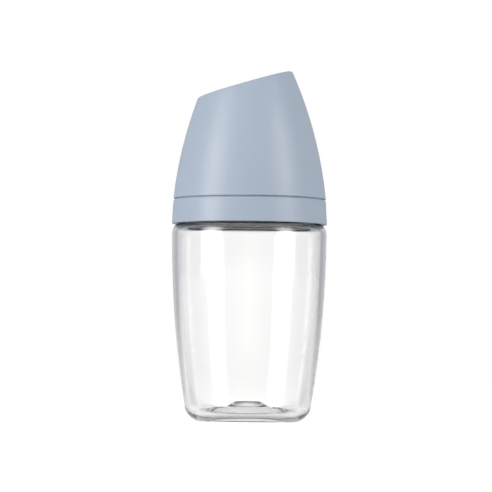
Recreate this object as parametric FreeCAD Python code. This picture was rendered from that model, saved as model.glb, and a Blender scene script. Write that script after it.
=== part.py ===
"""Wide-neck baby bottle, closed for carrying, in four pieces.

A clear body stands on a foot ring, a teat seals its rim, a screw collar clamps the teat, and a hood with
a slanted roof covers the teat. Millimetres, +Z up, origin at the middle of the foot ring's plane.
The roof of the hood rises towards +X. All the round pieces share the Z axis.
"""
import FreeCAD
import Part
import math
import os
from FreeCAD import Vector

# Clear body: outside
BODY_RADIUS = 35.75          # widest place, where the wall meets the shoulder
SHOULDER_START_Z = 88.0      # height of the widest place
WALL_CURVE = 495.0           # radius of the convex wall, seen in section
HEEL_RADIUS = 8.0
SHOULDER_RADIUS = 4.5
NECK_RADIUS = 31.0
RIM_Z = 101.0
RIM_BEVEL = 0.6

# Clear body: inside
WALL = 2.6
NECK_WALL = 2.2
NECK_MOUTH_BEVEL = 1.2       # inside corner between the shoulder and the neck
FLOOR_Z = 3.2                # inside floor, at its lowest
INNER_HEEL_RADIUS = 5.2

# Pushed-up base
FOOT_RING_INNER_RADIUS = 17.6
PUSH_UP_FOOT_RADIUS = 19.5   # where the inside floor starts to rise
PUSH_UP_TOP_RADIUS = 6.5     # flat top, seen from inside
PUSH_UP_TOP_Z = 9.6
PUSH_UP_HOLLOW_RADIUS = 9.0  # flat top of the hollow, seen from below
PUSH_UP_HOLLOW_Z = 6.6
PUSH_UP_ROUNDING = 2.0       # of the inside floor

# Screw collar
COLLAR_FOOT_RADIUS = 36.0    # the widest place of the whole bottle
COLLAR_TOP_RADIUS = 35.35
COLLAR_FOOT_Z = 91.3
COLLAR_LEDGE_Z = 102.4       # the hood stands on this ledge
COLLAR_BORE_RADIUS = 33.4    # room for the screw thread round the neck
COLLAR_MOUTH_RADIUS = 34.9   # flared lead-in at the lower edge
COLLAR_MOUTH_DEPTH = 2.1
COLLAR_EDGE_ROUNDING = 0.45
UPSTAND_RADIUS = 32.6        # rim that the hood slips over
UPSTAND_WALL = 1.7
UPSTAND_Z = 106.6
UPSTAND_BEAD = 0.25          # low bead round the upstand, which grips the hood
UPSTAND_BEAD_Z = 105.4
UPSTAND_BEAD_HALF_HEIGHT = 0.8
PLATE_THICKNESS = 2.2        # plate that presses on the teat's flange
PLATE_HOLE_RADIUS = 26.2

# Teat
FLANGE_THICKNESS = 1.8
FLANGE_RADIUS = 31.2
FLANGE_GAP = 0.4             # between the flange's edge and the collar
TEAT_WALL = 2.2
GROOVE_GAP = 0.6             # between the teat's groove and the plate's hole
GROOVE_HEADROOM = 0.4        # between the plate and the dome's overhang
DOME_FOOT_RADIUS = 27.0
DOME_CURVE = 21.0
DOME_SWEEP = math.radians(68.0)
DOME_FOOT_RISE = 1.4         # from the overhang to the dome's widest place
STEM_RADIUS = 8.3
TEAT_TIP_Z = 146.6
FEED_HOLE_RADIUS = 0.5

# Hood
HOOD_LIP_RADIUS = 35.4
HOOD_LIP_Z = 103.0           # leaves a shadow line above the collar
HOOD_SIDE_CURVE = 193.3      # radius of the convex side, seen in section
HOOD_SIDE_CENTRE_Z = 82.9
HOOD_WALL = 1.8
HOOD_TONGUE_RADIUS = 34.4    # inner part of the foot, which stands on the collar's ledge
HOOD_LIP_ROUNDING = 0.4
ROOF_AXIS_Z = 156.5          # height of the roof at the bottle's axis
ROOF_SLANT = math.radians(16.9)
ROOF_HOLLOW = 0.6            # how far the roof is dished, over its length
ROOF_LENGTH = 45.0
ROOF_EDGE_ROUNDING = 1.1
GRIP_PAD_COUNT = 6
GRIP_PAD_RADIUS = 33.05      # the pads' faces, just clear of the upstand's bead
GRIP_PAD_WIDTH = 7.0
GRIP_PAD_TOP_Z = 107.0

UP = Vector(0, 0, 1)
ORIGIN = Vector(0, 0, 0)


def at(r, z):
    """A point of the half section at radius r and height z."""
    return Vector(r, 0, z)


def arc_through(start, middle, end):
    """An arc of the half section through three (r, z) places."""
    return Part.Arc(at(*start), at(*middle), at(*end)).toShape()


def arc_about(centre, radius, from_angle, to_angle):
    """An arc of the half section about a centre; angles count up from the outward direction."""
    def place(angle):
        return centre[0] + radius * math.cos(angle), centre[1] + radius * math.sin(angle)
    return arc_through(place(from_angle), place((from_angle + to_angle) / 2), place(to_angle))


def run(*corners):
    """Straight edges through (r, z) corners; a third number rounds that corner."""
    points = [at(c[0], c[1]) for c in corners]
    edges = []
    start = points[0]
    for i in range(1, len(points)):
        corner = points[i]
        rounding = corners[i][2] if len(corners[i]) > 2 else 0
        if not rounding:
            edges.append(Part.LineSegment(start, corner).toShape())
            start = corner
            continue
        back = (points[i - 1] - corner).normalize()
        ahead = (points[i + 1] - corner).normalize()
        half_angle = back.getAngle(ahead) / 2
        trim = rounding / math.tan(half_angle)
        inward = (back + ahead).normalize()
        first = corner + back * trim
        last = corner + ahead * trim
        middle = corner + inward * (rounding / math.sin(half_angle) - rounding)
        edges.append(Part.LineSegment(start, first).toShape())
        edges.append(Part.Arc(first, middle, last).toShape())
        start = last
    return edges


def spin(edges):
    """The solid that a closed half section sweeps round the Z axis."""
    outline = Part.Wire(Part.__sortEdges__(edges))
    return Part.Face(outline).revolve(ORIGIN, UP, 360)


def plate_underside_z():
    """The collar's plate presses on the teat's flange, which lies on the rim."""
    return RIM_Z + FLANGE_THICKNESS


def wall_on_heel(wall_centre, wall_curve, top_angle, heel_radius, floor_z):
    """Convex wall and the heel that rolls it tangentially into a flat floor, from the floor upwards.

    Returns the two arcs and the radius where the floor begins.
    """
    heel_z = floor_z + heel_radius
    drop = wall_centre[1] - heel_z
    reach = math.sqrt((wall_curve - heel_radius) ** 2 - drop ** 2)
    heel_centre = (wall_centre[0] + reach, heel_z)
    lean = -math.atan2(drop, reach)
    heel = arc_about(heel_centre, heel_radius, -math.pi / 2, lean)
    wall = arc_about(wall_centre, wall_curve, lean, top_angle)
    return [heel, wall], heel_centre[0]


def make_bottle_body():
    """Vessel of even wall, with a pushed-up base and a plain neck."""
    quarter = math.pi / 2
    wall_centre = (BODY_RADIUS - WALL_CURVE, SHOULDER_START_Z)
    shoulder_centre = (BODY_RADIUS - SHOULDER_RADIUS, SHOULDER_START_Z)
    shoulder_z = SHOULDER_START_Z + SHOULDER_RADIUS
    ceiling_z = shoulder_z - WALL
    mouth_radius = NECK_RADIUS - NECK_WALL
    outside, foot_radius = wall_on_heel(wall_centre, WALL_CURVE, 0, HEEL_RADIUS, 0)
    inside, floor_radius = wall_on_heel(wall_centre, WALL_CURVE - WALL, 0, INNER_HEEL_RADIUS, FLOOR_Z)
    outer_shoulder = arc_about(shoulder_centre, SHOULDER_RADIUS, 0, quarter)
    inner_shoulder = arc_about(shoulder_centre, SHOULDER_RADIUS - WALL, 0, quarter)
    neck = run((shoulder_centre[0], shoulder_z),
               (NECK_RADIUS, shoulder_z),
               (NECK_RADIUS, RIM_Z - RIM_BEVEL),
               (NECK_RADIUS - RIM_BEVEL, RIM_Z),
               (mouth_radius + RIM_BEVEL, RIM_Z),
               (mouth_radius, RIM_Z - RIM_BEVEL),
               (mouth_radius, ceiling_z + NECK_MOUTH_BEVEL),
               (mouth_radius + NECK_MOUTH_BEVEL, ceiling_z),
               (shoulder_centre[0], ceiling_z))
    floor = run((floor_radius, FLOOR_Z),
                (PUSH_UP_FOOT_RADIUS, FLOOR_Z, PUSH_UP_ROUNDING),
                (PUSH_UP_TOP_RADIUS, PUSH_UP_TOP_Z, PUSH_UP_ROUNDING),
                (0, PUSH_UP_TOP_Z),
                (0, PUSH_UP_HOLLOW_Z),
                (PUSH_UP_HOLLOW_RADIUS, PUSH_UP_HOLLOW_Z),
                (FOOT_RING_INNER_RADIUS, 0),
                (foot_radius, 0))
    return spin(outside + [outer_shoulder] + neck + [inner_shoulder] + inside + floor)


def make_collar():
    """Skirt round the neck, ledge and upstand for the hood, and the plate that clamps the teat."""
    plate_z = plate_underside_z()
    plate_top_z = plate_z + PLATE_THICKNESS
    flange_seat_radius = FLANGE_RADIUS + FLANGE_GAP
    bore_top_z = COLLAR_LEDGE_Z - PLATE_THICKNESS
    bead_foot = (UPSTAND_RADIUS, UPSTAND_BEAD_Z - UPSTAND_BEAD_HALF_HEIGHT)
    bead_top = (UPSTAND_RADIUS, UPSTAND_BEAD_Z + UPSTAND_BEAD_HALF_HEIGHT)
    bead = arc_through(bead_foot, (UPSTAND_RADIUS + UPSTAND_BEAD, UPSTAND_BEAD_Z), bead_top)
    ring = run(bead_top,
               (UPSTAND_RADIUS, UPSTAND_Z),
               (UPSTAND_RADIUS - UPSTAND_WALL, UPSTAND_Z),
               (UPSTAND_RADIUS - UPSTAND_WALL, plate_top_z),
               (PLATE_HOLE_RADIUS, plate_top_z),
               (PLATE_HOLE_RADIUS, plate_z),
               (flange_seat_radius, plate_z),
               (flange_seat_radius, bore_top_z),
               (COLLAR_BORE_RADIUS, bore_top_z),
               (COLLAR_BORE_RADIUS, COLLAR_FOOT_Z + COLLAR_MOUTH_DEPTH),
               (COLLAR_MOUTH_RADIUS, COLLAR_FOOT_Z),
               (COLLAR_FOOT_RADIUS, COLLAR_FOOT_Z, COLLAR_EDGE_ROUNDING),
               (COLLAR_TOP_RADIUS, COLLAR_LEDGE_Z, COLLAR_EDGE_ROUNDING),
               (UPSTAND_RADIUS, COLLAR_LEDGE_Z),
               bead_foot)
    return spin([bead] + ring)


def dome_curves(skin):
    """Dome, waist, stem and tip of the teat, drawn `skin` inside its outer face, from the foot upwards."""
    foot_z = plate_underside_z() + PLATE_THICKNESS + GROOVE_HEADROOM + DOME_FOOT_RISE
    centre = (DOME_FOOT_RADIUS - DOME_CURVE, foot_z)
    shoulder_r = centre[0] + DOME_CURVE * math.cos(DOME_SWEEP)
    shoulder_z = centre[1] + DOME_CURVE * math.sin(DOME_SWEEP)
    waist_curve = (shoulder_r - STEM_RADIUS) / (1 - math.cos(DOME_SWEEP))
    waist_centre = (shoulder_r + waist_curve * math.cos(DOME_SWEEP),
                    shoulder_z + waist_curve * math.sin(DOME_SWEEP))
    tip_centre_z = TEAT_TIP_Z - STEM_RADIUS
    stem = STEM_RADIUS - skin
    return [arc_about(centre, DOME_CURVE - skin, 0, DOME_SWEEP),
            arc_about(waist_centre, waist_curve + skin, math.pi + DOME_SWEEP, math.pi),
            run((stem, waist_centre[1]), (stem, tip_centre_z))[0],
            arc_about((0, tip_centre_z), stem, 0, math.pi / 2)]


def make_teat():
    """Hollow soft teat: sealing flange, groove for the collar's plate, dome, stem and rounded tip."""
    plate_z = plate_underside_z()
    overhang_z = plate_z + PLATE_THICKNESS + GROOVE_HEADROOM
    foot_z = overhang_z + DOME_FOOT_RISE
    groove_radius = PLATE_HOLE_RADIUS - GROOVE_GAP
    throat_radius = groove_radius - TEAT_WALL
    foot = run((DOME_FOOT_RADIUS, foot_z),
               (DOME_FOOT_RADIUS, overhang_z),
               (groove_radius, overhang_z),
               (groove_radius, plate_z),
               (FLANGE_RADIUS, plate_z),
               (FLANGE_RADIUS, RIM_Z),
               (throat_radius, RIM_Z),
               (throat_radius, overhang_z),
               (DOME_FOOT_RADIUS - TEAT_WALL, foot_z))
    tip = run((0, TEAT_TIP_Z), (0, TEAT_TIP_Z - TEAT_WALL))
    teat = spin(dome_curves(0) + foot + dome_curves(TEAT_WALL) + tip)
    hole_foot = at(0, TEAT_TIP_Z - 2 * TEAT_WALL)
    return teat.cut(Part.makeCylinder(FEED_HOLE_RADIUS, 4 * TEAT_WALL, hole_foot))


def below_roof(side, foot, inset):
    """Solid under the roof, moved inwards by `inset`, from a side curve and the corners of its foot.

    The side runs up past the roof, to the height that hood_side draws it to.
    """
    top = side[-1].Vertexes[-1].Point
    corners = [(top.x, top.z), (0, top.z)] + foot
    return spin(side + run(*corners)).cut(space_above_roof(inset)).Solids[0]


def hood_side(inset):
    """Centre, radius and upper angle of the hood's side in section, moved inwards by `inset`."""
    centre_r = HOOD_LIP_RADIUS - math.sqrt(HOOD_SIDE_CURVE ** 2 - (HOOD_LIP_Z - HOOD_SIDE_CENTRE_Z) ** 2)
    curve = HOOD_SIDE_CURVE - inset
    over_roof_z = ROOF_AXIS_Z + ROOF_LENGTH / 2
    top_angle = math.asin((over_roof_z - HOOD_SIDE_CENTRE_Z) / curve)
    return (centre_r, HOOD_SIDE_CENTRE_Z), curve, top_angle


def space_above_roof(inset):
    """Everything above the slanted roof, whose face is dished along the slant."""
    dish_curve = ROOF_LENGTH ** 2 / (8 * ROOF_HOLLOW)
    roof_normal = Vector(-math.sin(ROOF_SLANT), 0, math.cos(ROOF_SLANT))
    lowest = Vector(0, 0, ROOF_AXIS_Z) - roof_normal * inset
    centre = lowest + roof_normal * dish_curve
    width = 4 * HOOD_LIP_RADIUS
    start = centre - Vector(0, width / 2, 0)
    return Part.makeCylinder(dish_curve + inset, width, start, Vector(0, 1, 0))


def roof_edge(solid):
    """The closed edge between the hood's side and its roof."""
    above_foot = [edge for edge in solid.Edges if edge.BoundBox.ZMin > UPSTAND_Z]
    return [edge for edge in above_foot if edge.BoundBox.YLength > ROOF_LENGTH / 2]


def grip_pads():
    """Low pads round the inside of the hood's foot, which hold it on the collar's upstand."""
    band = Part.makeCylinder(HOOD_TONGUE_RADIUS, GRIP_PAD_TOP_Z - HOOD_LIP_Z, at(0, HOOD_LIP_Z))
    band = band.cut(Part.makeCylinder(GRIP_PAD_RADIUS, GRIP_PAD_TOP_Z, at(0, 0)))
    pads = []
    for i in range(GRIP_PAD_COUNT):
        corner = Vector(0, -GRIP_PAD_WIDTH / 2, 0)
        slab = Part.makeBox(HOOD_LIP_RADIUS, GRIP_PAD_WIDTH, GRIP_PAD_TOP_Z, corner)
        pads.append(band.common(slab.rotated(ORIGIN, UP, 360 * (i + 0.5) / GRIP_PAD_COUNT)))
    return pads


def make_hood():
    """Thin shell of even wall; its foot is stepped, so that a shadow line stays above the collar."""
    centre, curve, top_angle = hood_side(0)
    side, lip_radius = wall_on_heel(centre, curve, top_angle, HOOD_LIP_ROUNDING, HOOD_LIP_Z)
    stepped_foot = [(0, COLLAR_LEDGE_Z),
                    (HOOD_TONGUE_RADIUS, COLLAR_LEDGE_Z),
                    (HOOD_TONGUE_RADIUS, HOOD_LIP_Z),
                    (lip_radius, HOOD_LIP_Z)]
    outside = below_roof(side, stepped_foot, 0)
    outside = outside.makeFillet(ROOF_EDGE_ROUNDING, roof_edge(outside))
    centre, curve, top_angle = hood_side(HOOD_WALL)
    foot_angle = math.asin((COLLAR_LEDGE_Z - HOOD_SIDE_CENTRE_Z) / curve)
    inner_side = arc_about(centre, curve, foot_angle, top_angle)
    inner_foot = inner_side.Vertexes[0].Point
    inside = below_roof([inner_side], [(0, COLLAR_LEDGE_Z), (inner_foot.x, inner_foot.z)], HOOD_WALL)
    return outside.cut(inside).multiFuse(grip_pads()).removeSplitter()


def export(name, shape):
    """Write one piece and report its size."""
    box = shape.optimalBoundingBox()
    print(f"{name}: {len(shape.Solids)} solid, valid {shape.isValid()}, {shape.Volume / 1000:.2f} cm3,"
          f" x {box.XMin:.2f} to {box.XMax:.2f}, z {box.ZMin:.2f} to {box.ZMax:.2f}")
    shape.exportStep(f"parts/{name}.step")


os.makedirs("parts", exist_ok=True)
export("bottle_body", make_bottle_body())
export("collar", make_collar())
export("teat", make_teat())
export("hood", make_hood())
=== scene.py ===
# %% [markdown]
# # A baby bottle, closed for carrying
#
# The real bottle comes apart into four pieces: a clear vessel, a soft teat that lies on its rim, a
# screw collar that clamps the teat, and a hood that slips over both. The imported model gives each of
# them its place and its motion. This lesson gives them their looks, in the same frame and in metres,
# with +Z up.

# %% Load the fixed frame
import math

import bpy
from mathutils import Matrix, Vector


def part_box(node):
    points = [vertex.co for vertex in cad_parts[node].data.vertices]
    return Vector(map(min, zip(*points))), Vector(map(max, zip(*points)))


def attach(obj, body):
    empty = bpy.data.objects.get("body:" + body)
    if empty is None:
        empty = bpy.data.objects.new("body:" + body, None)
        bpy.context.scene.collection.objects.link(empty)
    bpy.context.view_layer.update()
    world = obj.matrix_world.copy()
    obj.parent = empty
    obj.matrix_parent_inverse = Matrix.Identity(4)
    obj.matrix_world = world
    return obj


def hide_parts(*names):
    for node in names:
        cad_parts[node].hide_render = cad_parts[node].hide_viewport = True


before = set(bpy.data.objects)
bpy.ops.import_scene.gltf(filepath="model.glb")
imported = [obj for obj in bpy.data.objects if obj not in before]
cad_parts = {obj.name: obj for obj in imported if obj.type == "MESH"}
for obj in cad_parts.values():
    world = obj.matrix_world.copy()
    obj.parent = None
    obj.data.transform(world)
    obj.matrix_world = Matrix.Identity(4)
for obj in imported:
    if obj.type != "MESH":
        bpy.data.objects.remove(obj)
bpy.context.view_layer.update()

MM = 0.001
scene = bpy.context.scene
scene.view_settings.view_transform = "Standard"

# %% [markdown]
# ## The camera
#
# The photograph was taken from far away with a long lens, a little above the table. Three things can be
# read from it: how much one pixel covers at the bottle's axis, the row where the bottle stands, and the
# row of the horizon, where circles on the bottle look like straight lines. The camera's height and tilt
# follow from these. The picture is also turned by about half a degree, so the camera is rolled the
# other way.

# %% Set up the camera
PICTURE_SIDE = 492
PIXEL = 0.4636 * MM
DISTANCE = 1486 * MM
FOOT_ROW = 421.4
HORIZON_ROW = 370.0
AXIS_COLUMN = 249.2
PICTURE_ROLL = math.radians(0.57)


def make_camera():
    """Camera at the photograph's place, looking along +Y."""
    focal_pixels = DISTANCE / PIXEL
    middle = PICTURE_SIDE / 2
    data = bpy.data.cameras.new("camera")
    data.lens = data.sensor_width * focal_pixels / PICTURE_SIDE
    camera = bpy.data.objects.new("camera", data)
    scene.collection.objects.link(camera)
    place = Vector(((middle - AXIS_COLUMN) * PIXEL, -DISTANCE, (FOOT_ROW - HORIZON_ROW) * PIXEL))
    tilt = math.atan((HORIZON_ROW - middle) / focal_pixels)
    turn = Matrix.Rotation(math.pi / 2 + tilt, 4, "X") @ Matrix.Rotation(PICTURE_ROLL, 4, "Z")
    camera.matrix_world = Matrix.Translation(place) @ turn
    return camera


scene.camera = make_camera()
print(f"lens {scene.camera.data.lens:.0f} mm, height {scene.camera.location.z / MM:.1f} mm")

# %% [markdown]
# ## Helpers for node trees
#
# Shapes that follow a rule are made by Geometry Nodes, and finishes by shader nodes. Both kinds of tree
# are built in the script, so a few helpers keep that short: one adds a node and fills its inputs with
# values or links, some add a Math node or a short sum, and one closes a Geometry Nodes tree as the
# export needs it, with its instances realized and its material set.

# %% Node helpers


def add(tree, kind, inputs=(), **settings):
    """Add a node, set its properties, and fill or link its inputs by name or number."""
    node = tree.nodes.new(kind)
    for name, value in settings.items():
        setattr(node, name, value)
    for key, value in dict(inputs).items():
        if isinstance(value, bpy.types.NodeSocket):
            tree.links.new(value, node.inputs[key])
        else:
            node.inputs[key].default_value = value
    return node


def calc(tree, operation, *values):
    """Output of a Math node."""
    return add(tree, "ShaderNodeMath", enumerate(values), operation=operation).outputs[0]


def length_of(tree, first, second):
    """Length of a flat vector."""
    squares = [calc(tree, "MULTIPLY", value, value) for value in (first, second)]
    return calc(tree, "SQRT", calc(tree, "ADD", *squares))


def smooth_step(tree, value, start, end):
    """0 before start, 1 after end, and smooth between them."""
    steps = {"Value": value, "From Min": start, "From Max": end}
    return add(tree, "ShaderNodeMapRange", steps, interpolation_type="SMOOTHSTEP").outputs["Result"]


def mix_colours(tree, factor, first, second):
    """Colour output of a Mix node; its colour sockets are found by number."""
    return add(tree, "ShaderNodeMix", {0: factor, 6: first, 7: second}, data_type="RGBA").outputs[2]


def add_sockets(tree, in_out, kind, names):
    """Give a tree's interface sockets of one kind; names is a list, or a dict of default values."""
    for name in names:
        socket = tree.interface.new_socket(name, in_out=in_out, socket_type=kind)
        if isinstance(names, dict):
            socket.default_value = names[name]


def new_shape_tree(name, sizes, counts=()):
    """Geometry Nodes tree with a material and named sizes as inputs; returns it and its input sockets."""
    tree = bpy.data.node_groups.new(name, "GeometryNodeTree")
    add_sockets(tree, "INPUT", "NodeSocketGeometry", ["Geometry"])
    add_sockets(tree, "INPUT", "NodeSocketMaterial", ["Material"])
    add_sockets(tree, "INPUT", "NodeSocketFloat", sizes)
    add_sockets(tree, "INPUT", "NodeSocketInt", counts)
    add_sockets(tree, "OUTPUT", "NodeSocketGeometry", ["Geometry"])
    return tree, add(tree, "NodeGroupInput").outputs


def close_shape_tree(tree, geometry, material):
    """End the tree in Realize Instances and Set Material."""
    real = add(tree, "GeometryNodeRealizeInstances", {"Geometry": geometry})
    painted = add(tree, "GeometryNodeSetMaterial", {"Geometry": real.outputs[0], "Material": material})
    add(tree, "NodeGroupOutput", {"Geometry": painted.outputs[0]})
    return tree


def apply_tree(piece, tree, values):
    """Run a tree on a piece and keep the result as its plain mesh."""
    modifier = piece.modifiers.new(tree.name, "NODES")
    modifier.node_group = tree
    for socket in tree.interface.items_tree:
        if socket.in_out == "INPUT" and socket.name in values:
            modifier[socket.identifier] = values[socket.name]
    seen = piece.evaluated_get(bpy.context.evaluated_depsgraph_get())
    mesh = bpy.data.meshes.new_from_object(seen)
    piece.modifiers.remove(modifier)
    piece.data = mesh
    mesh.name = piece.name


def new_piece(name, points, edges=(), faces=()):
    """Object with a plain mesh, at the origin."""
    mesh = bpy.data.meshes.new(name)
    mesh.from_pydata(points, edges, faces)
    piece = bpy.data.objects.new(name, mesh)
    scene.collection.objects.link(piece)
    return piece


print("helpers:", [tool.__name__ for tool in (add, calc, new_shape_tree, close_shape_tree, apply_tree)])

# %% [markdown]
# ## Finishes
#
# Three finishes cover the bottle. The hood and the collar are moulded in pale blue plastic with a satin
# skin. The vessel and the scale on it are clear and polished, and the teat is milky silicone. A moulded
# surface is never perfectly even: its gloss drifts in soft clouds, its tone a little too, and a very
# fine grain from the mould breaks up the highlights. That is the same effect at different sizes in
# every finish, so it is one shader group, and each material sets its own values.

# %% The shared skin of moulded pieces
CLOUD_LOW = 0.3
CLOUD_HIGH = 0.7


def make_skin_group():
    """Drifting tone and gloss with a fine grain, for every moulded surface."""
    tree = bpy.data.node_groups.new("moulded_skin", "ShaderNodeTree")
    add_sockets(tree, "INPUT", "NodeSocketColor", ["Tone", "Deep Tone"])
    add_sockets(tree, "INPUT", "NodeSocketFloat", ["Cloud Size", "Grain Size"])
    add_sockets(tree, "INPUT", "NodeSocketFloat", ["Least Roughness", "Most Roughness"])
    add_sockets(tree, "OUTPUT", "NodeSocketColor", ["Colour"])
    add_sockets(tree, "OUTPUT", "NodeSocketFloat", ["Roughness", "Height"])
    given = add(tree, "NodeGroupInput").outputs
    place = add(tree, "ShaderNodeTexCoord").outputs["Object"]
    fine = calc(tree, "DIVIDE", 1.0, given["Grain Size"])
    broad = calc(tree, "DIVIDE", 1.0, given["Cloud Size"])
    grain = add(tree, "ShaderNodeTexNoise", {"Vector": place, "Scale": fine, "Detail": 3.0}).outputs[0]
    clouds = add(tree, "ShaderNodeTexNoise", {"Vector": place, "Scale": broad, "Detail": 2.0}).outputs[0]
    drift = smooth_step(tree, clouds, CLOUD_LOW, CLOUD_HIGH)
    colour = mix_colours(tree, drift, given["Tone"], given["Deep Tone"])
    spread = {"Value": drift, "To Min": given["Least Roughness"], "To Max": given["Most Roughness"]}
    gloss = add(tree, "ShaderNodeMapRange", spread).outputs["Result"]
    add(tree, "NodeGroupOutput", {"Colour": colour, "Roughness": gloss, "Height": grain})
    return tree


skin_group = make_skin_group()
print("skin group:", [socket.name for socket in skin_group.interface.items_tree])

# %% [markdown]
# Each material is a Principled BSDF that takes its colour, roughness and bump from the skin group. What
# is the same all over a surface, such as how much light it lets through, is set on the shader itself,
# so that the export keeps it.

# %% The three materials


def make_finish(name, skin, bump_depth, fixed):
    """Material with the shared skin; `fixed` holds the values that are the same all over it."""
    material = bpy.data.materials.new(name)
    material.use_nodes = True
    tree = material.node_tree
    shader = tree.nodes["Principled BSDF"]
    group = add(tree, "ShaderNodeGroup", node_tree=skin_group)
    for key, value in skin.items():
        group.inputs[key].default_value = value
    relief = {"Height": group.outputs["Height"], "Distance": bump_depth, "Strength": 1.0}
    bump = add(tree, "ShaderNodeBump", relief)
    tree.links.new(group.outputs["Colour"], shader.inputs["Base Color"])
    tree.links.new(group.outputs["Roughness"], shader.inputs["Roughness"])
    tree.links.new(bump.outputs["Normal"], shader.inputs["Normal"])
    for key, value in fixed.items():
        shader.inputs[key].default_value = value
    material.diffuse_color = skin["Tone"]
    return material


blue_plastic = make_finish(
    "blue_plastic",
    {"Tone": (0.358, 0.433, 0.548, 1), "Deep Tone": (0.35, 0.425, 0.54, 1), "Cloud Size": 30 * MM,
     "Grain Size": 0.35 * MM, "Least Roughness": 0.36, "Most Roughness": 0.42},
    0.003 * MM, {"IOR": 1.5})
clear_plastic = make_finish(
    "clear_plastic",
    {"Tone": (0.992, 0.99, 0.986, 1), "Deep Tone": (0.988, 0.986, 0.982, 1), "Cloud Size": 25 * MM,
     "Grain Size": 9 * MM, "Least Roughness": 0.0, "Most Roughness": 0.012},
    0.004 * MM, {"IOR": 1.55, "Transmission Weight": 1.0})
silicone = make_finish(
    "silicone",
    {"Tone": (0.93, 0.93, 0.92, 1), "Deep Tone": (0.9, 0.9, 0.885, 1), "Cloud Size": 12 * MM,
     "Grain Size": 0.6 * MM, "Least Roughness": 0.3, "Most Roughness": 0.38},
    0.004 * MM, {"IOR": 1.41, "Transmission Weight": 0.45})
print("finishes:", [material.name for material in (blue_plastic, clear_plastic, silicone)])

# %% [markdown]
# ## Turning a section
#
# The vessel, the collar and the teat are round, so each is drawn as half a section, as radius and
# height, and spun about the Z axis. A Screw modifier could spin it, but a Geometry Nodes tree shows the
# rule: a flat grid gets one column for each step round the axis and one row for each point of the
# section. Every grid point looks up its section point and is turned by its column's share of the
# circle. Merging the doubles closes the seam and the poles.

# %% The tree that turns a section


def make_turning_tree():
    """Spins an outline of (r, 0, z) points about Z in a number of steps."""
    tree, given = new_shape_tree("turned_section", {"Merge Distance": 0.002 * MM}, {"Steps": 256})
    outline = {"Geometry": given["Geometry"]}
    counter = add(tree, "GeometryNodeAttributeDomainSize", outline, component="MESH")
    count = counter.outputs["Point Count"]
    columns = calc(tree, "ADD", given["Steps"], 1)
    grid = add(tree, "GeometryNodeMeshGrid", {"Vertices X": columns, "Vertices Y": count}).outputs["Mesh"]
    index = add(tree, "GeometryNodeInputIndex").outputs[0]
    row = calc(tree, "MODULO", index, count)
    # Half an index keeps the division clear of rounding.
    column = calc(tree, "FLOOR", calc(tree, "DIVIDE", calc(tree, "ADD", index, 0.5), count))
    angle = calc(tree, "DIVIDE", calc(tree, "MULTIPLY", column, 2 * math.pi), given["Steps"])
    position = add(tree, "GeometryNodeInputPosition").outputs[0]
    look_up = {"Geometry": given["Geometry"], "Value": position, "Index": row}
    corner = add(tree, "GeometryNodeSampleIndex", look_up, data_type="FLOAT_VECTOR").outputs[0]
    spun = add(tree, "ShaderNodeVectorRotate", {"Vector": corner, "Angle": angle}, rotation_type="Z_AXIS")
    placed = add(tree, "GeometryNodeSetPosition", {"Geometry": grid, "Position": spun.outputs[0]})
    closing = {"Geometry": placed.outputs[0], "Distance": given["Merge Distance"]}
    closed = add(tree, "GeometryNodeMergeByDistance", closing)
    smooth = add(tree, "GeometryNodeSetShadeSmooth", {"Geometry": closed.outputs[0]})
    return close_shape_tree(tree, smooth.outputs[0], given["Material"])


turning = make_turning_tree()
print("turning tree:", len(turning.nodes), "nodes")

# %% [markdown]
# An outline needs only its corners, its roundings and a few arcs. Two helpers turn these into points:
# one walks along an arc, and one walks through corners, where a third number rounds a corner. Points
# lie closer together on tight curves, because the clear wall shows every facet as a ripple.

# %% Outline helpers
ARC_STEP = math.radians(5)
LONGEST_STEP = 2.5 * MM


def arc_points(centre, radius, start, end):
    """Points along an arc of the section; angles count up from the outward direction."""
    count = math.ceil(max(abs(end - start) / ARC_STEP, abs(end - start) * radius / LONGEST_STEP, 2))
    angles = [start + (end - start) * i / count for i in range(count + 1)]
    return [(centre[0] + radius * math.cos(a), centre[1] + radius * math.sin(a)) for a in angles]


def corner_points(*corners):
    """Points through (r, z) corners; a third number rounds that corner."""
    flat = [Vector(corner[:2]) for corner in corners]
    points = [tuple(flat[0])]
    for i in range(1, len(corners)):
        rounding = corners[i][2] if len(corners[i]) > 2 else 0
        if not rounding:
            points.append(tuple(flat[i]))
            continue
        back = (flat[i - 1] - flat[i]).normalized()
        ahead = (flat[i + 1] - flat[i]).normalized()
        half = back.angle(ahead) / 2
        centre = flat[i] + (back + ahead).normalized() * rounding / math.sin(half)
        first = flat[i] + back * rounding / math.tan(half) - centre
        last = flat[i] + ahead * rounding / math.tan(half) - centre
        start = math.atan2(first.y, first.x)
        sweep = (math.atan2(last.y, last.x) - start + math.pi) % (2 * math.pi) - math.pi
        points += arc_points(centre, rounding, start, start + sweep)
    return points


def fill_gaps(points, longest, low=-math.inf, high=math.inf):
    """Add points so that no step between the heights low and high is longer than `longest`."""
    filled = [points[0]]
    for start, end in zip(points, points[1:]):
        inside = low <= min(start[1], end[1]) and max(start[1], end[1]) <= high
        count = math.ceil(math.dist(start, end) / longest) if inside else 1
        for i in range(1, count + 1):
            filled.append(tuple(a + (b - a) * i / count for a, b in zip(start, end)))
    return filled


def turn_piece(name, outline, steps, material):
    """Spin a section into a named piece."""
    points = [(r, 0, z) for r, z in outline]
    edges = [(i, i + 1) for i in range(len(points) - 1)]
    piece = new_piece(name, points, edges)
    apply_tree(piece, turning, {"Steps": steps, "Material": material})
    return piece


def report(piece):
    """Print what a piece came out as."""
    size = [round(value / MM, 2) for value in piece.dimensions]
    print(f"{piece.name}: {len(piece.data.polygons)} faces, {size} mm")


print("points in a quarter circle:", len(arc_points((0, 0), MM, 0, math.pi / 2)))

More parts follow.
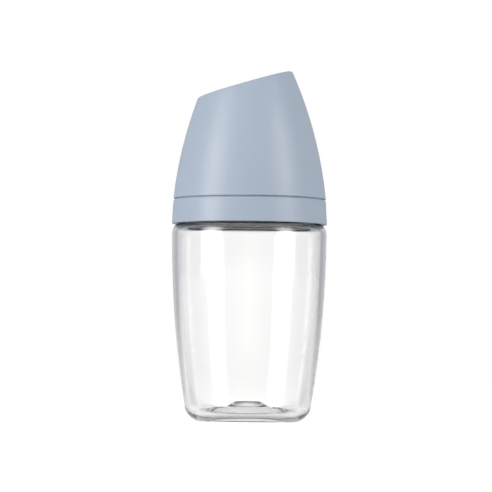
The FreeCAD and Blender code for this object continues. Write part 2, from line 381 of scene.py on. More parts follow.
# %% [markdown]
# ## The screw thread
#
# The neck carries one turn of a coarse right-hand thread, and the collar has its partner inside. A
# thread could be a swept ridge laid over the neck, but in a clear piece the overlap would show as extra
# surfaces. So a second tree lifts points of the turned wall: it finds each point's distance from the
# nearest turn of the helix, gives the ridge a flat crest and smooth flanks, and lets it run out at both
# ends.

# %% The tree that raises a thread
THREAD_PITCH = 4.8 * MM
THREAD_FOOT_Z = 94.3 * MM


def make_thread_tree():
    """Raises a helical ridge on the wall of the given radius; a negative height raises it inwards."""
    sizes = {"Wall Radius": 31 * MM, "Reach": 0.05 * MM, "Pitch": THREAD_PITCH, "Foot": THREAD_FOOT_Z,
             "Start": 0.0, "Turns": 1.0, "Height": 1.3 * MM, "Crest": 0.35 * MM, "Flank": 0.7 * MM,
             "Run Out": 0.08}
    tree, given = new_shape_tree("screw_thread", sizes)
    position = add(tree, "GeometryNodeInputPosition").outputs[0]
    x, y, z = add(tree, "ShaderNodeSeparateXYZ", {0: position}).outputs
    radius = length_of(tree, x, y)
    angle = calc(tree, "SUBTRACT", calc(tree, "ARCTAN2", y, x), given["Start"])
    share = calc(tree, "DIVIDE", angle, 2 * math.pi)
    climb = calc(tree, "DIVIDE", calc(tree, "SUBTRACT", z, given["Foot"]), given["Pitch"])
    turn = calc(tree, "ADD", calc(tree, "ROUND", calc(tree, "SUBTRACT", climb, share)), share)
    above = calc(tree, "MULTIPLY", calc(tree, "SUBTRACT", climb, turn), given["Pitch"])
    away = calc(tree, "ABSOLUTE", above)
    foot = calc(tree, "ADD", given["Crest"], given["Flank"])
    ridge = smooth_step(tree, away, foot, given["Crest"])
    left = calc(tree, "SUBTRACT", given["Turns"], turn)
    run_in = smooth_step(tree, turn, 0.0, given["Run Out"])
    run_out = smooth_step(tree, left, 0.0, given["Run Out"])
    ends = calc(tree, "MULTIPLY", run_in, run_out)
    lift = calc(tree, "MULTIPLY", calc(tree, "MULTIPLY", ridge, ends), given["Height"])
    grown = calc(tree, "DIVIDE", lift, radius)
    outwards = {0: calc(tree, "MULTIPLY", x, grown), 1: calc(tree, "MULTIPLY", y, grown)}
    offset = add(tree, "ShaderNodeCombineXYZ", outwards)
    nearness = {"A": radius, "B": given["Wall Radius"], "Epsilon": given["Reach"]}
    on_wall = add(tree, "FunctionNodeCompare", nearness, operation="EQUAL")
    moving = {"Geometry": given["Geometry"], "Selection": on_wall.outputs[0], "Offset": offset.outputs[0]}
    moved = add(tree, "GeometryNodeSetPosition", moving)
    return close_shape_tree(tree, moved.outputs[0], given["Material"])


threading = make_thread_tree()
print("thread tree:", len(threading.nodes), "nodes")

# %% [markdown]
# ## The notches in the base
#
# Three short notches are pressed into the underside of the base, spaced evenly round the axis. In a
# clear piece they show as small bright and dark facets. A Boolean could cut them, but it would break up
# the even mesh, and the clear wall would show that as ripples. So a tree lifts points of the underside:
# each point finds how far it is from the nearest notch, along it and across it, and rises the more the
# nearer it is.

# %% The tree that presses the notches


def make_notch_tree():
    """Presses short radial notches into the underside of the base, evenly round the axis."""
    sizes = {"Radius": 15.8 * MM, "Half Length": 3.6 * MM, "Half Width": 2.4 * MM, "Depth": 2.4 * MM,
             "Flat Share": 0.3, "Highest": 6.7 * MM}
    tree, given = new_shape_tree("base_notches", sizes, {"Count": 3})
    position = add(tree, "GeometryNodeInputPosition").outputs[0]
    x, y, z = add(tree, "ShaderNodeSeparateXYZ", {0: position}).outputs
    radius = length_of(tree, x, y)
    pitch = calc(tree, "DIVIDE", 2 * math.pi, given["Count"])
    turn = calc(tree, "PINGPONG", calc(tree, "ARCTAN2", x, y), calc(tree, "DIVIDE", pitch, 2.0))
    sideways = calc(tree, "MULTIPLY", radius, calc(tree, "SINE", turn))
    across = calc(tree, "DIVIDE", sideways, given["Half Width"])
    along = calc(tree, "DIVIDE", calc(tree, "SUBTRACT", radius, given["Radius"]), given["Half Length"])
    away = length_of(tree, across, along)
    lift = calc(tree, "MULTIPLY", smooth_step(tree, away, 1.0, given["Flat Share"]), given["Depth"])
    normal = add(tree, "GeometryNodeInputNormal").outputs[0]
    down = calc(tree, "LESS_THAN", add(tree, "ShaderNodeSeparateXYZ", {0: normal}).outputs[2], 0.0)
    underside = calc(tree, "MULTIPLY", down, calc(tree, "LESS_THAN", z, given["Highest"]))
    offset = add(tree, "ShaderNodeCombineXYZ", {2: lift}).outputs[0]
    moving = {"Geometry": given["Geometry"], "Selection": underside, "Offset": offset}
    moved = add(tree, "GeometryNodeSetPosition", moving)
    return close_shape_tree(tree, moved.outputs[0], given["Material"])


notching = make_notch_tree()
print("notch tree:", len(notching.nodes), "nodes")

# %% [markdown]
# ## The clear vessel
#
# The vessel is blown or moulded from clear plastic: a gently curved wall that widens towards the
# shoulder, a rounded heel, a pushed-up base that stiffens it, and a neck. Inside, the base rises in low
# steps to a small round cap. What the eye sees is how the wall bends the light behind it, so the piece
# is a closed skin with its true wall: an outer and an inner face, joined over the rim. Its height and
# width come from the frame.

# %% The vessel's sizes
body_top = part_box("bottle_body")[1]
BODY_RADIUS = body_top.x
RIM_Z = body_top.z
SHOULDER_START_Z = 86.9 * MM
WALL_CURVE = 495 * MM
WALL = 2.6 * MM
SHOULDER_RADIUS = 5.6 * MM
HEEL_RADIUS = 8 * MM
INNER_HEEL_RADIUS = 5.2 * MM
FLOOR_Z = 3.2 * MM
NECK_RADIUS = 31 * MM
NECK_WALL = 2.2 * MM
THREAD_ROW = 0.17 * MM
THREAD_TOP_DROP = 0.9 * MM
RIM_EDGE = 0.6 * MM
NECK_FOOT_EDGE = 1.2 * MM
PUSH_UP_Z = 6.2 * MM
PUSH_UP_RADIUS = 9 * MM
PUSH_UP_EDGE = 2 * MM
FOOT_INNER_RADIUS = 17.6 * MM
FOOT_EDGE = 1.2 * MM
BASE_ROW = 0.5 * MM
FLOOR_START_RADIUS = 19.8 * MM
STEP_RADIUS = 14.2 * MM
STEP_Z = 6.1 * MM
CAP_FOOT_RADIUS = 10.6 * MM
CAP_FOOT_Z = 6.7 * MM
STEP_EDGE = 1.5 * MM
CAP_TOP_Z = 9.7 * MM
CAP_RADIUS = 5.9 * MM
CAP_CURVE = 80 * MM
VESSEL_STEPS = 288
print("vessel:", round(2 * BODY_RADIUS / MM, 2), "mm across,", round(RIM_Z / MM, 2), "mm to its rim")

# %% [markdown]
# The wall is one long arc and the heel a short one that meets it without a kink, so the centre of the
# heel's arc is worked out from the two radii. The outer and the inner face follow the same rule, the
# inner one at a wall's thickness.

# %% The vessel's faces


def wall_and_heel(inset, heel, floor_z):
    """Points of the heel and wall up to the shoulder, and the radius where the floor begins."""
    curve = WALL_CURVE - inset
    centre_r = BODY_RADIUS - WALL_CURVE
    drop = SHOULDER_START_Z - floor_z - heel
    reach = math.sqrt((curve - heel) ** 2 - drop ** 2)
    lean = -math.atan2(drop, reach)
    points = arc_points((centre_r + reach, floor_z + heel), heel, -math.pi / 2, lean)
    points += arc_points((centre_r, SHOULDER_START_Z), curve, lean, 0)
    return points, centre_r + reach


def inner_face():
    """Points of the inner face, from the middle of the base out to the heel and up to the shoulder."""
    wall, floor_radius = wall_and_heel(WALL, INNER_HEEL_RADIUS, FLOOR_Z)
    cap_end = math.acos(CAP_RADIUS / CAP_CURVE)
    cap = arc_points((0, CAP_TOP_Z - CAP_CURVE), CAP_CURVE, math.pi / 2, cap_end)
    floor = corner_points(cap[-1], (CAP_FOOT_RADIUS, CAP_FOOT_Z, STEP_EDGE),
                          (STEP_RADIUS, STEP_Z, STEP_EDGE), (FLOOR_START_RADIUS, FLOOR_Z, STEP_EDGE),
                          (floor_radius, FLOOR_Z))
    return cap + floor[1:] + wall[1:]


print("inner face:", len(inner_face()), "points")

# %% [markdown]
# The whole section runs from the middle of the base round the outside, over the rim and back down the
# inside. The wall of the neck gets many rows of points, so that the thread can rise from it smoothly.

# %% Make the vessel


def make_vessel():
    """Closed skin of the vessel with its thread and notches."""
    outside, foot_radius = wall_and_heel(0, HEEL_RADIUS, 0)
    shoulder_r = BODY_RADIUS - SHOULDER_RADIUS
    shoulder_z = SHOULDER_START_Z + SHOULDER_RADIUS
    ceiling_z = shoulder_z - WALL
    mouth = NECK_RADIUS - NECK_WALL
    base = corner_points((0, PUSH_UP_Z), (PUSH_UP_RADIUS, PUSH_UP_Z, PUSH_UP_EDGE),
                         (FOOT_INNER_RADIUS, 0, FOOT_EDGE), (foot_radius, 0))
    base = fill_gaps(base, BASE_ROW)
    shoulder = arc_points((shoulder_r, SHOULDER_START_Z), SHOULDER_RADIUS, 0, math.pi / 2)
    thread_top = (NECK_RADIUS, RIM_Z - THREAD_TOP_DROP)
    neck = corner_points((shoulder_r, shoulder_z), (NECK_RADIUS, shoulder_z), thread_top)
    neck = fill_gaps(neck, THREAD_ROW, shoulder_z)
    rim = corner_points(thread_top, (NECK_RADIUS, RIM_Z, RIM_EDGE), (mouth, RIM_Z, RIM_EDGE),
                        (mouth, ceiling_z, NECK_FOOT_EDGE), (shoulder_r, ceiling_z))
    inner_shoulder = arc_points((shoulder_r, SHOULDER_START_Z), SHOULDER_RADIUS - WALL, math.pi / 2, 0)
    outline = base + outside[1:] + shoulder[1:] + neck[1:] + rim[1:]
    outline += inner_shoulder[1:] + inner_face()[-2::-1]
    vessel = turn_piece("bottle_shell", outline, VESSEL_STEPS, clear_plastic)
    apply_tree(vessel, threading, {"Wall Radius": NECK_RADIUS, "Material": clear_plastic})
    apply_tree(vessel, notching, {"Material": clear_plastic})
    return vessel


vessel = make_vessel()
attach(vessel, "bottle")
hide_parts("bottle_body")
report(vessel)

# %% [markdown]
# ## The volume scale
#
# Every feeding bottle carries a scale. Here it is low clear relief, moulded on the side that the
# photograph sees edge-on. Its marks are not evenly spaced, because the vessel is wider at the top:
# their heights come from the vessel's own inner face, along which the milk's volume is added up in thin
# slices. A picture of a scale could be laid over the wall, but relief catches the light and stays sharp
# from near by. One tree sets bars and numbers out flat, gives them a little thickness, and then wraps
# them round: the distance along the scale becomes an angle, and the height picks the radius of the
# curved wall.

# %% Find the heights of the marks
MILLILITRE = (10 * MM) ** 3
AMOUNTS = range(30, 241, 30)
VOLUME_STEP = 0.2 * MM
STEPS_PER_LEVEL = 3


def find_levels():
    """Height of the milk for each amount, found by adding up its volume along the inner face."""
    levels = {}
    full = 0.0
    path = fill_gaps(inner_face(), VOLUME_STEP)
    for (start_r, start_z), (end_r, end_z) in zip(path, path[1:]):
        area = math.pi * (start_r ** 2 + start_r * end_r + end_r ** 2) / 3
        step = area * (end_z - start_z)
        for amount in AMOUNTS:
            missing = amount * MILLILITRE - full
            if 0 < missing <= step:
                levels[amount] = start_z + missing / area
        full += step
    return levels


def scale_heights(levels):
    """Heights of the bars, in thirds of the way between the levels."""
    levels = list(levels.values())
    heights = []
    for low, high in zip(levels, levels[1:]):
        heights += [low + (high - low) * i / STEPS_PER_LEVEL for i in range(STEPS_PER_LEVEL)]
    return heights + levels[-1:]


milk_levels = find_levels()
print("levels in mm:", {amount: round(height / MM, 2) for amount, height in milk_levels.items()})

# %% [markdown]
# The tree gets one point for each bar. It puts a block on every point, longer on every third one, and
# writes each number as a filled and thickened curve. The bars have several columns, so that they can
# bend.

# %% The tree that sets out the scale
MARK_SUNK = 0.03 * MM
MARK_RAISED = 0.2 * MM
MARK_MERGE = 0.001 * MM
DIGIT_SIZE = 3.3 * MM
DIGIT_START = 1.6 * MM
BAR_COLUMNS = 9
UNIT_Z = 13.6 * MM


def make_scale_tree(levels):
    """Bars at the given points and numbers beside them, wrapped round the vessel's wall."""
    sizes = {"Bar Height": 0.4 * MM, "Long Bar": 4.3 * MM, "Short Bar": 2.5 * MM}
    tree, given = new_shape_tree("scale_marks", sizes)
    index = add(tree, "GeometryNodeInputIndex").outputs[0]
    is_long = calc(tree, "LESS_THAN", calc(tree, "MODULO", index, STEPS_PER_LEVEL), 0.5)
    lengths = {0: is_long, 2: given["Short Bar"], 3: given["Long Bar"]}
    length = add(tree, "ShaderNodeMix", lengths).outputs[0]
    thick = MARK_SUNK + MARK_RAISED
    block = {"Size": (1, 1, 1), "Vertices X": BAR_COLUMNS}
    bar = add(tree, "GeometryNodeMeshCube", block).outputs["Mesh"]
    bar = add(tree, "GeometryNodeTransform", {"Geometry": bar, "Translation": (0.5, 0, 0)}).outputs[0]
    bar_size = add(tree, "ShaderNodeCombineXYZ", {0: length, 1: thick, 2: given["Bar Height"]}).outputs[0]
    bars = {"Points": given["Geometry"], "Instance": bar, "Scale": bar_size}
    marks = [add(tree, "GeometryNodeInstanceOnPoints", bars).outputs[0]]
    words = {"ml": UNIT_Z, **levels}
    for word, height in words.items():
        written = {"String": str(word), "Size": DIGIT_SIZE}
        letters = add(tree, "GeometryNodeStringToCurves", written, align_y="MIDDLE")
        drawn = add(tree, "GeometryNodeRealizeInstances", {"Geometry": letters.outputs[0]}).outputs[0]
        filled = add(tree, "GeometryNodeFillCurve", {"Curve": drawn}, mode="NGONS").outputs[0]
        raising = {"Mesh": filled, "Offset Scale": thick, "Individual": False}
        raised = add(tree, "GeometryNodeExtrudeMesh", raising)
        back = add(tree, "GeometryNodeFlipFaces", {"Mesh": filled}).outputs[0]
        solid = add(tree, "GeometryNodeJoinGeometry")
        for part in (raised.outputs["Mesh"], back):
            tree.links.new(part, solid.inputs[0])
        place = {"Geometry": solid.outputs[0], "Translation": (DIGIT_START, thick / 2, height),
                 "Rotation": (math.pi / 2, 0, 0)}
        marks.append(add(tree, "GeometryNodeTransform", place).outputs[0])
    joined = add(tree, "GeometryNodeJoinGeometry")
    for mark in marks:
        tree.links.new(mark, joined.inputs[0])
    flat = add(tree, "GeometryNodeRealizeInstances", {"Geometry": joined.outputs[0]}).outputs[0]
    flat = add(tree, "GeometryNodeMergeByDistance", {"Geometry": flat, "Distance": MARK_MERGE}).outputs[0]
    position = add(tree, "GeometryNodeInputPosition").outputs[0]
    u, depth, z = add(tree, "ShaderNodeSeparateXYZ", {0: position}).outputs
    rise = calc(tree, "SUBTRACT", z, SHOULDER_START_Z)
    span = calc(tree, "SQRT", calc(tree, "SUBTRACT", WALL_CURVE ** 2, calc(tree, "MULTIPLY", rise, rise)))
    wall = calc(tree, "ADD", span, BODY_RADIUS - WALL_CURVE)
    angle = calc(tree, "DIVIDE", u, wall)
    radius = calc(tree, "ADD", calc(tree, "SUBTRACT", wall, depth), (MARK_RAISED - MARK_SUNK) / 2)
    round_x = calc(tree, "MULTIPLY", radius, calc(tree, "COSINE", angle))
    round_y = calc(tree, "MULTIPLY", radius, calc(tree, "SINE", angle))
    wrapped = add(tree, "ShaderNodeCombineXYZ", {0: round_x, 1: round_y, 2: z}).outputs[0]
    moved = add(tree, "GeometryNodeSetPosition", {"Geometry": flat, "Position": wrapped})
    return close_shape_tree(tree, moved.outputs[0], given["Material"])


scaling = make_scale_tree(milk_levels)
print("scale tree:", len(scaling.nodes), "nodes")

# %% Raise the scale
BAR_START = -3.4 * MM

bar_points = [(BAR_START, 0, height) for height in scale_heights(milk_levels)]
volume_scale = new_piece("volume_scale", bar_points)
apply_tree(volume_scale, scaling, {"Material": clear_plastic})
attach(volume_scale, "bottle")
report(volume_scale)

# %% [markdown]
# ## The screw collar
#
# The collar is a ring with a lot of function in its section: a flared mouth, a bore with the thread's
# partner, a seat for the teat's flange, a plate that presses on it, and an upstand with a low bead that
# the hood clips over. It is turned in the same way as the vessel. Its outline is closed, so the first
# point comes again at the end, and the merge joins the two. Its thread lies half a turn round from the
# neck's, so that the two ridges lie between each other and one slides along the other as the collar
# turns.

# %% Make the collar
collar_low, collar_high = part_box("collar")
COLLAR_FOOT_RADIUS = 36 * MM
COLLAR_TOP_RADIUS = 35.35 * MM
COLLAR_LEDGE_Z = 102.4 * MM
COLLAR_BORE_RADIUS = 33.4 * MM
COLLAR_MOUTH_RADIUS = 34.9 * MM
MOUTH_DEPTH = 2.1 * MM
THREAD_CLEAR_DEPTH = 1.5 * MM
PARTNER_HEIGHT = 1.45 * MM
SEAT_RADIUS = 31.6 * MM
UPSTAND_RADIUS = 32.6 * MM
UPSTAND_WALL = 1.7 * MM
FLANGE_THICKNESS = 1.8 * MM
PLATE_THICKNESS = 2.2 * MM
PLATE_HOLE_RADIUS = 26.2 * MM
BEAD_Z = 105.4 * MM
BEAD_HALF = 0.9 * MM
BEAD_RISE = 0.25 * MM
BEAD_EDGE = 1.2 * MM
SOFT_EDGE = 0.6 * MM
ROUND_EDGE = 0.45 * MM
CRISP_EDGE = 0.3 * MM
MOUTH_EDGE = 0.25 * MM
SEAT_EDGE = 0.2 * MM
UPSTAND_EDGE = 0.15 * MM
COLLAR_STEPS = 256


def make_collar():
    """Closed ring of the collar with the thread inside its bore."""
    foot_z = collar_low.z
    top_z = collar_high.z
    plate_z = RIM_Z + FLANGE_THICKNESS
    plate_top_z = plate_z + PLATE_THICKNESS
    bore_top_z = COLLAR_LEDGE_Z - PLATE_THICKNESS
    inner_radius = UPSTAND_RADIUS - UPSTAND_WALL
    bead_foot = (UPSTAND_RADIUS, BEAD_Z - BEAD_HALF)
    bead_top = (UPSTAND_RADIUS, BEAD_Z + BEAD_HALF)
    bead = corner_points(bead_foot, (UPSTAND_RADIUS + BEAD_RISE, BEAD_Z, BEAD_EDGE), bead_top)
    ring = corner_points(bead_top,
                         (UPSTAND_RADIUS, top_z, UPSTAND_EDGE),
                         (inner_radius, top_z, ROUND_EDGE),
                         (inner_radius, plate_top_z, SOFT_EDGE),
                         (PLATE_HOLE_RADIUS, plate_top_z, SOFT_EDGE),
                         (PLATE_HOLE_RADIUS, plate_z, CRISP_EDGE),
                         (SEAT_RADIUS, plate_z, SEAT_EDGE),
                         (SEAT_RADIUS, bore_top_z, ROUND_EDGE),
                         (COLLAR_BORE_RADIUS, bore_top_z, SOFT_EDGE),
                         (COLLAR_BORE_RADIUS, foot_z + MOUTH_DEPTH, SOFT_EDGE),
                         (COLLAR_MOUTH_RADIUS, foot_z, MOUTH_EDGE),
                         (COLLAR_FOOT_RADIUS, foot_z, ROUND_EDGE),
                         (COLLAR_TOP_RADIUS, COLLAR_LEDGE_Z, ROUND_EDGE),
                         (UPSTAND_RADIUS, COLLAR_LEDGE_Z, CRISP_EDGE),
                         bead_foot)
    ring = fill_gaps(ring, THREAD_ROW, foot_z + THREAD_CLEAR_DEPTH, bore_top_z)
    collar = turn_piece("collar_ring", bead + ring[1:], COLLAR_STEPS, blue_plastic)
    partner = {"Wall Radius": COLLAR_BORE_RADIUS, "Height": -PARTNER_HEIGHT, "Start": math.pi}
    apply_tree(collar, threading, {"Material": blue_plastic, **partner})
    return collar


collar = make_collar()
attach(collar, "collar")
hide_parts("collar")
report(collar)

# %% [markdown]
# ## The teat
#
# The teat hides under the hood until the hood comes off. It is soft silicone in one piece: a flange
# that seals the rim, a groove that holds the collar's plate, a dome, and a stem with a small hole at
# its tip. It is turned like the rest. The two air vents are shallow round cups on the dome, so another
# tree presses them in: a point is pushed along its normal by how near it is to a vent's centre.

# %% The outline of the dome and stem
TEAT_WALL = 2.2 * MM
DOME_FOOT_RADIUS = 27 * MM
DOME_CURVE = 21 * MM
DOME_SWEEP = math.radians(68)
STEM_RADIUS = 8.3 * MM
FEED_HOLE_RADIUS = 0.5 * MM
TEAT_ROW = 0.7 * MM


def dome_points(centre, skin, tip_z):
    """Dome, waist, stem and tip up to the feeding hole, drawn `skin` inside the outer face."""
    slope = Vector((math.cos(DOME_SWEEP), math.sin(DOME_SWEEP)))
    shoulder = Vector(centre) + DOME_CURVE * slope
    waist = (shoulder.x - STEM_RADIUS) / (1 - math.cos(DOME_SWEEP))
    waist_centre = shoulder + waist * slope
    tip_centre = (0, tip_z - STEM_RADIUS)
    stem = STEM_RADIUS - skin
    points = arc_points(centre, DOME_CURVE - skin, 0, DOME_SWEEP)
    points += arc_points(waist_centre, waist + skin, math.pi + DOME_SWEEP, math.pi)[1:]
    points += arc_points(tip_centre, stem, 0, math.acos(FEED_HOLE_RADIUS / stem))
    return fill_gaps(points, TEAT_ROW)


teat_tip_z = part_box("teat")[1].z
print("tip of the teat at", round(teat_tip_z / MM, 2), "mm")

# %% The tree that presses the air vents


def make_vent_tree():
    """Presses a round cup into the surface about a point of the section, at the front and at the back."""
    sizes = {"Radius": 25 * MM, "Level": 115 * MM, "Cup": 1.9 * MM, "Floor": 1.1 * MM, "Depth": 0.9 * MM}
    tree, given = new_shape_tree("air_vents", sizes)
    position = add(tree, "GeometryNodeInputPosition").outputs[0]
    x, y, z = add(tree, "ShaderNodeSeparateXYZ", {0: position}).outputs
    mirrored = add(tree, "ShaderNodeCombineXYZ", {0: x, 1: calc(tree, "ABSOLUTE", y), 2: z}).outputs[0]
    centre = add(tree, "ShaderNodeCombineXYZ", {1: given["Radius"], 2: given["Level"]}).outputs[0]
    ends = {0: mirrored, 1: centre}
    away = add(tree, "ShaderNodeVectorMath", ends, operation="DISTANCE").outputs["Value"]
    press = calc(tree, "MULTIPLY", smooth_step(tree, away, given["Cup"], given["Floor"]), given["Depth"])
    normal = add(tree, "GeometryNodeInputNormal").outputs[0]
    push = {0: normal, "Scale": calc(tree, "MULTIPLY", press, -1.0)}
    inwards = add(tree, "ShaderNodeVectorMath", push, operation="SCALE").outputs[0]
    moved = add(tree, "GeometryNodeSetPosition", {"Geometry": given["Geometry"], "Offset": inwards})
    return close_shape_tree(tree, moved.outputs[0], given["Material"])


venting = make_vent_tree()
print("vent tree:", len(venting.nodes), "nodes")

# %% Make the teat
VENT_ANGLE = math.radians(24)
FLANGE_RADIUS = 31.2 * MM
GROOVE_CLEARANCE = 0.4 * MM
GROOVE_GAP = 0.6 * MM
DOME_LIFT = 1.4 * MM
TEAT_EDGE = 0.4 * MM
THROAT_EDGE = 1 * MM
TEAT_STEPS = 224


def make_teat():
    """Closed hollow teat with its feeding hole and vents."""
    plate_z = RIM_Z + FLANGE_THICKNESS
    overhang_z = plate_z + PLATE_THICKNESS + GROOVE_CLEARANCE
    centre = (DOME_FOOT_RADIUS - DOME_CURVE, overhang_z + DOME_LIFT)
    groove = PLATE_HOLE_RADIUS - GROOVE_GAP
    throat = groove - TEAT_WALL
    foot = corner_points((DOME_FOOT_RADIUS - TEAT_WALL, centre[1]), (throat, overhang_z, THROAT_EDGE),
                         (throat, RIM_Z, TEAT_EDGE), (FLANGE_RADIUS, RIM_Z, TEAT_EDGE),
                         (FLANGE_RADIUS, plate_z, TEAT_EDGE), (groove, plate_z, CRISP_EDGE),
                         (groove, overhang_z, TEAT_EDGE), (DOME_FOOT_RADIUS, overhang_z, SOFT_EDGE),
                         (DOME_FOOT_RADIUS, centre[1]))
    outside = dome_points(centre, 0, teat_tip_z)
    inside = dome_points(centre, TEAT_WALL, teat_tip_z)
    outline = inside[::-1] + foot[1:] + outside[1:] + [inside[-1]]
    teat = turn_piece("teat_soft", outline, TEAT_STEPS, silicone)
    vent = {"Radius": centre[0] + DOME_CURVE * math.cos(VENT_ANGLE),
            "Level": centre[1] + DOME_CURVE * math.sin(VENT_ANGLE)}
    apply_tree(teat, venting, {"Material": silicone, **vent})
    return teat


teat = make_teat()
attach(teat, "teat")
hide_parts("teat")
report(teat)

# %% [markdown]
# ## The hood
#
# The hood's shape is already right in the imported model, down to the rounded edge of its slanted roof,
# so its mesh stays and only gets the blue finish.

# %% Dress the hood
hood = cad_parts["hood"]
hood.data.materials.clear()
hood.data.materials.append(blue_plastic)
report(hood)

# %% [markdown]
# ## The floor and the light
#
# The bottle stands in a white studio: a pale floor, two tall soft lamps in front, and white
# surroundings. A clear wall shows its surroundings more than itself, so these have some shape: white
# panels stand in a ring with greyer gaps between them, and each edge of the vessel picks up a gap.
# Overhead the studio is darker, which darkens the shoulder under the collar. The same ring is needed
# twice, for the walls of the studio and for the light painted into the floor's glow, so it is a shader
# group.

# %% The ring of panels
PANEL_COUNT = 6
BACK_GAP = 0.52
FRONT_GAP = 0.15
CEILING_START = 0.16
CEILING_FULL = 0.45
CEILING_DEPTH = 0.8
RIGHT_DEPTH = 0.1
GAP_COLOUR = (0.81, 0.83, 1.0, 1)
WHITE = (1, 1, 1, 1)


def make_ring_group():
    """Brightness and tint of the studio in a direction from the bottle."""
    tree = bpy.data.node_groups.new("panel_ring", "ShaderNodeTree")
    add_sockets(tree, "INPUT", "NodeSocketVector", ["Direction"])
    add_sockets(tree, "OUTPUT", "NodeSocketFloat", ["Strength"])
    add_sockets(tree, "OUTPUT", "NodeSocketColor", ["Colour"])
    given = add(tree, "NodeGroupInput").outputs
    x, y, z = add(tree, "ShaderNodeSeparateXYZ", {0: given["Direction"]}).outputs
    azimuth = calc(tree, "ARCTAN2", x, y)
    turn = calc(tree, "MULTIPLY", azimuth, float(PANEL_COUNT))
    gap = calc(tree, "SUBTRACT", 0.5, calc(tree, "MULTIPLY", calc(tree, "COSINE", turn), 0.5))
    behind = calc(tree, "COSINE", azimuth)
    span = {"Value": behind, "From Min": -1.0, "To Min": FRONT_GAP, "To Max": BACK_GAP}
    gap = calc(tree, "MULTIPLY", gap, add(tree, "ShaderNodeMapRange", span).outputs["Result"])
    dim = calc(tree, "MULTIPLY", smooth_step(tree, z, CEILING_START, CEILING_FULL), CEILING_DEPTH)
    right = calc(tree, "MULTIPLY", calc(tree, "MAXIMUM", calc(tree, "SINE", azimuth), 0.0), RIGHT_DEPTH)
    strength = calc(tree, "SUBTRACT", calc(tree, "SUBTRACT", 1.0, gap), right)
    strength = calc(tree, "MULTIPLY", strength, calc(tree, "SUBTRACT", 1.0, dim))
    colour = mix_colours(tree, strength, GAP_COLOUR, WHITE)
    add(tree, "NodeGroupOutput", {"Strength": strength, "Colour": colour})
    return tree


ring_group = make_ring_group()
print("panels:", PANEL_COUNT)

# %% [markdown]
# The camera sees the floor as plain white, with the bottle's soft shadow. To clear and glossy surfaces
# the floor glows with a painted copy of the ring's light. Close to the bottle this painted light changes
# with the distance from the axis: a painted bright pool under the raised base, a painted shadow below the
# foot ring, where the bottle rests, painted light again just outside it, and a little painted grey shade
# further out. A Color Ramp holds these levels.

# %% The floor
FLOOR_HALF = 6.0
FLOOR_GREY = (0.5, 0.5, 0.5, 1)
FLOOR_GLOW = 0.76
FLOOR_CONTRAST = 2.0
SHADE_END = 250 * MM
EVEN_END = 45 * MM
EVEN_GLOW = 0.75
# levels of the floor's glow by distance in mm: painted light under the base and just outside the foot,
# painted shadow under the foot ring, painted grey shade further out
PAINTED_LIGHT_AND_SHADE_BY_MM = {0: 1.2, 14: 1.2, 17: 0.55, 21.5: 0.55, 25: 1.2, 45: 1.1, 60: 0.78, 250: 1.0}


def make_floor():
    """Large pale floor at the foot's height."""
    half = FLOOR_HALF
    floor = new_piece("floor", [(-half, -half, 0), (half, -half, 0), (half, half, 0), (-half, half, 0)],
                      faces=[(0, 1, 2, 3)])
    material = bpy.data.materials.new("floor_paper")
    material.use_nodes = True
    tree = material.node_tree
    tree.nodes.clear()
    light = add(tree, "ShaderNodeLightPath").outputs
    place = add(tree, "ShaderNodeTexCoord").outputs["Object"]
    ring = add(tree, "ShaderNodeGroup", node_tree=ring_group)
    tree.links.new(place, ring.inputs["Direction"])
    away = add(tree, "ShaderNodeVectorMath", {0: place}, operation="LENGTH").outputs["Value"]
    # the floor's glow carries a painted copy of the ring's light, evened out close to the bottle
    spread = {0: smooth_step(tree, away, EVEN_END, SHADE_END), 2: EVEN_GLOW,
              3: calc(tree, "POWER", ring.outputs["Strength"], FLOOR_CONTRAST)}
    painted_glow = add(tree, "ShaderNodeMix", spread).outputs[0]
    # painted shadow and painted light, by distance from the axis
    painted_light_and_shade = add(tree, "ShaderNodeValToRGB", {"Fac": calc(tree, "DIVIDE", away, SHADE_END)})
    stops = painted_light_and_shade.color_ramp.elements
    stops.remove(stops[1])
    for distance, level in PAINTED_LIGHT_AND_SHADE_BY_MM.items():
        stop = stops.new(distance * MM / SHADE_END) if distance else stops[0]
        stop.color = (level, level, level, 1)
    painted_glow = calc(tree, "MULTIPLY", painted_glow, painted_light_and_shade.outputs["Color"])
    mirrored = calc(tree, "MAXIMUM", light["Is Glossy Ray"], light["Is Transmission Ray"])
    seen = calc(tree, "MAXIMUM", light["Is Camera Ray"], calc(tree, "MULTIPLY", mirrored, painted_glow))
    matt = add(tree, "ShaderNodeBsdfDiffuse", {"Color": FLOOR_GREY})
    colour = mix_colours(tree, light["Is Camera Ray"], ring.outputs["Colour"], WHITE)
    strength = calc(tree, "MULTIPLY", seen, FLOOR_GLOW)
    glow = add(tree, "ShaderNodeEmission", {"Color": colour, "Strength": strength})
    both = add(tree, "ShaderNodeAddShader", {0: matt.outputs[0], 1: glow.outputs[0]})
    add(tree, "ShaderNodeOutputMaterial", {"Surface": both.outputs[0]})
    floor.data.materials.append(material)
    return floor


floor = make_floor()
print("floor:", [round(value, 1) for value in floor.dimensions])

# %% [markdown]
# The surroundings serve three kinds of ray. The camera sees plain white. A ray that has gone through
# the clear wall sees the ring of panels, with a cool tint in its gaps. All other light is even and
# white, so that the blue plastic keeps its colour. The Light Path node tells the rays apart, so it
# stays in the world's own tree.

# %% The white surroundings
AMBIENT = 0.5
SHINE = 0.45


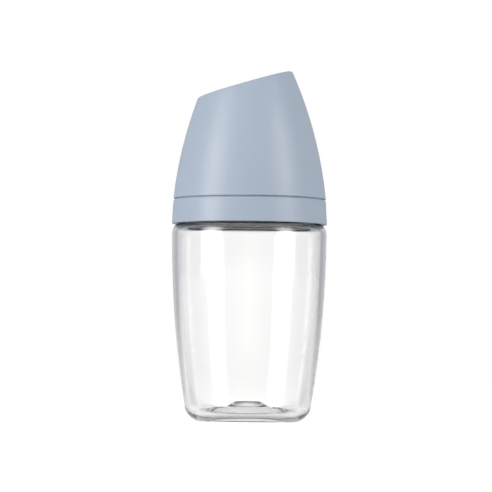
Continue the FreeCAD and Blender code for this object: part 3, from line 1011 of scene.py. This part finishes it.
def make_world():
    """White for the camera, the ring of panels through clear walls, and an even glow for the rest."""
    world = bpy.data.worlds.new("studio")
    scene.world = world
    world.use_nodes = True
    tree = world.node_tree
    tree.nodes.clear()
    ring = add(tree, "ShaderNodeGroup", node_tree=ring_group)
    tree.links.new(add(tree, "ShaderNodeTexCoord").outputs["Generated"], ring.inputs["Direction"])
    light = add(tree, "ShaderNodeLightPath").outputs
    strength = add(tree, "ShaderNodeMix", {0: light["Is Glossy Ray"], 2: AMBIENT, 3: SHINE}).outputs[0]
    through = {0: light["Is Transmission Ray"], 2: strength, 3: ring.outputs["Strength"]}
    strength = add(tree, "ShaderNodeMix", through).outputs[0]
    strength = add(tree, "ShaderNodeMix", {0: light["Is Camera Ray"], 2: strength, 3: 1.0}).outputs[0]
    colour = mix_colours(tree, light["Is Transmission Ray"], WHITE, ring.outputs["Colour"])
    sky = add(tree, "ShaderNodeBackground", {"Color": colour, "Strength": strength})
    add(tree, "ShaderNodeOutputWorld", {"Surface": sky.outputs[0]})
    return world


print("surroundings:", make_world().name)

# %% [markdown]
# Two tall soft lamps stand in front of the bottle, left and right, and draw the long highlights on the
# hood and the collar. A plain area lamp would give these hard edges, so each lamp's own nodes fade it
# towards its two sides: the Geometry node's Parametric output tells how far across the lamp a point
# lies.

# %% The soft lamps
LAMP_DISTANCE = 1.9
LAMP_HEIGHT = 0.68
LAMP_LENGTH = 1.5
LAMP_AIM = Vector((0, 0, 0.1))
LAMP_FADE = 0.4
LAMP_COLOUR = (0.98, 0.93, 0.87)


def make_lamp(name, azimuth, width, power):
    """Tall soft lamp that faces the bottle; azimuth (+ to the camera's right) and width in degrees."""
    data = bpy.data.lights.new(name, "AREA")
    data.shape = "RECTANGLE"
    data.size = 2 * LAMP_DISTANCE * math.tan(math.radians(width) / 2)
    data.size_y = LAMP_LENGTH
    data.energy = power
    data.color = LAMP_COLOUR
    data.use_nodes = True
    tree = data.node_tree
    place = add(tree, "ShaderNodeNewGeometry").outputs["Parametric"]
    across = add(tree, "ShaderNodeSeparateXYZ", {0: place}).outputs[0]
    inwards = calc(tree, "MINIMUM", across, calc(tree, "SUBTRACT", 1.0, across))
    glow = smooth_step(tree, inwards, 0.0, LAMP_FADE)
    tree.links.new(glow, tree.nodes["Emission"].inputs["Strength"])
    lamp = bpy.data.objects.new(name, data)
    scene.collection.objects.link(lamp)
    angle = math.radians(azimuth)
    lamp.location = (LAMP_DISTANCE * math.sin(angle), -LAMP_DISTANCE * math.cos(angle), LAMP_HEIGHT)
    lamp.rotation_euler = (LAMP_AIM - lamp.location).to_track_quat("-Z", "Y").to_euler()
    lamp.visible_camera = False
    return lamp


lamps = [make_lamp("left_softbox", azimuth=-60, width=46, power=54),
         make_lamp("right_softbox", azimuth=58, width=40, power=38.5)]
print("lamps:", [(lamp.name, lamp.data.energy) for lamp in lamps])
